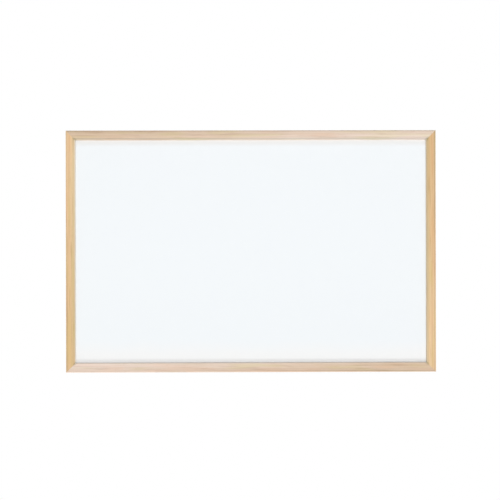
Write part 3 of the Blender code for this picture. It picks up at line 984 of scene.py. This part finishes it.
def white_enamel():
    """Glossy enamel on sheet steel, faintly uneven, with painted light and shade in its colour and
    the marks of many wipes in its gloss.
    """
    enamel = Finish("white_enamel")
    _, _, z = enamel.split(enamel.place)
    drift = enamel.noise(enamel.place, (12.0, 12.0, 12.0), 5.0) * 0.02
    # Painted light: the bluer white above and the neutral white near the bottom
    neutral = 1.0 - enamel.step(z + drift, *BLUE_FROM)
    colour = enamel.mix(neutral, BLUE_WHITE, NEUTRAL_WHITE)
    # Painted shade in the strip under the top rail
    colour = enamel.tinted(enamel.step(z, *TOP_RAIL_SHADE_FROM), colour, TOP_RAIL_SHADE)
    mottle = enamel.noise(enamel.place, (55.0, 55.0, 55.0), 8.0, 3.0)
    colour = enamel.lit(colour, 0.996 + mottle * 0.008)
    wipes = enamel.noise(enamel.place, (9.0, 9.0, 160.0), 14.0, 3.0, 0.6)
    peel = enamel.noise(enamel.place, (420.0, 420.0, 420.0), 17.0, 2.0)
    sway = enamel.noise(enamel.place, (6.0, 6.0, 6.0), 19.0, 1.0)
    return enamel.end({
        "Base Color": colour,
        "Roughness": 0.13 + enamel.step(wipes, 0.45, 0.80) * 0.08,
        "Normal": enamel.bump(peel * 0.03 + sway, 0.0004),
        "IOR": 1.5,
    })


def brown_hardboard():
    """Pressed fibreboard: matted fibres, darker flecks, and the weave of the press screen."""
    board = Finish("brown_hardboard")
    x, _, z = board.split(board.place)
    mat = board.noise(board.place, (260.0, 260.0, 260.0), 31.0, 5.0, 0.65)
    patches = board.noise(board.place, (14.0, 14.0, 14.0), 37.0, 3.0)
    flecks = board.step(board.noise(board.place, (900.0, 900.0, 300.0), 41.0, 2.0), 0.62, 0.72)
    turns = FULL_TURN / SCREEN_PITCH
    weave = board.math("SINE", x * turns) * board.math("SINE", z * turns)
    colour = board.mix(board.step(mat, 0.30, 0.70), BOARD_DARK, BOARD_LIGHT)
    colour = board.mix(patches * 0.4, colour, BOARD_PATCH)
    colour = board.mix(flecks * 0.5, colour, BOARD_FLECK)
    return board.end({
        "Base Color": colour,
        "Roughness": 0.72 + mat * 0.15,
        "Normal": board.bump(mat * 0.6 + weave * 0.25, 0.0002),
        "IOR": 1.45,
    })


def small_steel(name, steel):
    """Bright or plated steel: clouded tone, fine rolling marks, a few scuffs."""
    metal = Finish(name)
    clouds = metal.noise(metal.place, (450.0, 450.0, 450.0), steel.seed, 3.0)
    lines = metal.noise(metal.place, steel.marks, steel.seed + 1.0, 3.0, 0.6)
    scratches = metal.noise(metal.place, (200.0, 900.0, 2600.0), steel.seed + 2.0, 2.0)
    scuffs = metal.step(scratches, 0.60, 0.75)
    colour = metal.mix(metal.step(clouds, 0.30, 0.70), steel.dark, steel.light)
    return metal.end({
        "Base Color": metal.lit(colour, 0.94 + lines * 0.12),
        "Metallic": 1.0,
        "Roughness": 0.27 + clouds * 0.14 + scuffs * 0.12,
        "Normal": metal.bump(lines * 0.7 + scuffs * 0.3, 0.000012),
    })


# The room: floor, light and camera


def studio_world():
    """White to the camera and in reflections, a plain soft grey for the rest of the light."""
    world = bpy.data.worlds.new("studio")
    bpy.context.scene.world = world
    world.use_nodes = True
    nodes = Nodes(world.node_tree)
    strength = WORLD_LIGHT + seen_directly(nodes) * (1.0 - WORLD_LIGHT)
    light = nodes.add("ShaderNodeBackground", sockets={"Color": WHITE, "Strength": strength})
    nodes.add("ShaderNodeOutputWorld", sockets={"Surface": light})


def seen_directly(nodes):
    """1 for rays from the camera, from a mirror or through glass."""
    path = nodes.add("ShaderNodeLightPath")
    bent = nodes.math("MAXIMUM", path.other("Is Glossy Ray"), path.other("Is Transmission Ray"))
    return nodes.math("MAXIMUM", path.other("Is Camera Ray"), bent)


def pale_floor():
    """A wide pale floor that keeps the board's shadow and fades to white far off."""
    bpy.ops.mesh.primitive_circle_add(
        vertices=FLOOR_CORNERS,
        radius=FLOOR_RADIUS,
        fill_type="NGON",
        location=(0.0, 0.0, FLOOR_HEIGHT),
    )
    floor = bpy.context.active_object
    floor.name = "floor"
    floor.visible_shadow = False
    pale = Finish("pale_floor")
    distance = pale.vector_math("LENGTH", pale.place).other("Value")
    whiteness = FLOOR_WHITENESS + (1.0 - FLOOR_WHITENESS) * pale.step(distance, *FLOOR_FADES)
    grain = pale.noise(pale.place, (40.0, 40.0, 40.0), 51.0, 3.0)
    colour = pale.lit(FLOOR_COLOUR, 0.98 + grain * 0.04)
    matt = pale.add("ShaderNodeBsdfPrincipled", sockets={"Base Color": colour, "Roughness": 0.9})
    white = pale.add("ShaderNodeEmission", sockets={"Color": WHITE, "Strength": 1.0})
    sockets = {0: whiteness * seen_directly(pale), 1: matt, 2: white}
    blend = pale.add("ShaderNodeMixShader", sockets=sockets)
    pale.add("ShaderNodeOutputMaterial", sockets={"Surface": blend})
    floor.data.materials.append(pale.material)


def soft_sun(name, energy, towards_light, spread, glossy=True):
    """An even lamp, as wide as this many degrees."""
    data = bpy.data.lights.new(name, "SUN")
    data.energy = energy
    data.angle = math.radians(spread)
    lamp = new_object(name, data)
    lamp.rotation_euler = Vector(towards_light).to_track_quat("Z", "Y").to_euler()
    lamp.visible_glossy = glossy


def studio_camera():
    """A long lens almost square to the board, less than half a degree from its left."""
    data = bpy.data.cameras.new("camera")
    data.sensor_width = SENSOR_WIDTH
    data.lens = LENS
    camera = new_object("camera", data)
    camera.location = (CAMERA_X, -DEPTH - CAMERA_DISTANCE, MIDDLE + CAMERA_RISE)
    camera.rotation_euler = (QUARTER_TURN, CAMERA_ROLL, CAMERA_AZIMUTH)
    bpy.context.scene.camera = camera


def build_frame():
    """The four sticks, and what is driven or screwed into them."""
    bright_steel = small_steel("bright_steel", BRIGHT_STEEL)
    zinc = small_steel("zinc_plate", ZINC)
    hands = {"left": -1, "right": 1}

    nail_shape, point_shape, moulding_shape = nail_tree(), point_tree(), moulding_tree()
    kerfs = v_nails("kerfs", nail_shape, bright_steel, DRIVEN_ROOM, CUT_PAST)
    slots = steel_points("slots", point_shape, bright_steel, DRIVEN_ROOM)
    recesses = {f"{hand}_stile": hanger_cutters(side) for hand, side in hands.items()}
    for side in STICKS:
        moulding(side, moulding_shape, [kerfs, slots, *recesses.get(side, [])])
    discard([kerfs, slots, *recesses["left_stile"], *recesses["right_stile"]])

    names = [f"corner_nail_{row}_{hand}_{number}" for row in ("top", "bottom")
             for hand in hands for number in range(1, NAILS_A_CORNER + 1)]
    nails = shade(weld(v_nails("v_nails", nail_shape, bright_steel)))
    dress_as(nails, "fastener_steel", *names)
    names = [f"panel_point_{side}_{number}" for side, stick in STICKS.items()
             for number in range(1, POINTS[stick.kind] + 1)]
    points = shade(steel_points("steel_points", point_shape, bright_steel))
    dress_as(points, "fastener_steel", *names)
    for hand, side in hands.items():
        plate = keyhole_plate(f"keyhole_plate_{hand}", side, zinc)
        dress_as(plate, "hanger_steel", f"hanger_{hand}")
    names = [f"hanger_screw_{hand}_{end}" for hand in hands for end in ("upper", "lower")]
    dress_as(shade(screws(screw_tree(), zinc)), "hanger_steel", *names)


def repaint(node, material):
    """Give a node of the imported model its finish."""
    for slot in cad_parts[node].material_slots:
        slot.material = material


studio_camera()
build_frame()
repaint("writing_sheet", white_enamel())
repaint("backing_board", brown_hardboard())

studio_world()
pale_floor()
soft_sun("from_below", 0.98, (0.05, -1.0, -2.0), 9.0)
soft_sun("from_front", 1.205, (0.10, -1.0, -0.08), 36.0, glossy=False)
soft_sun("from_behind_left", 1.6, (-0.8, 0.6, 0.4), 30.0, glossy=False)
soft_sun("from_behind_right", 1.6, (0.8, 0.6, 0.4), 30.0, glossy=False)
bpy.context.scene.view_settings.view_transform = "Standard"
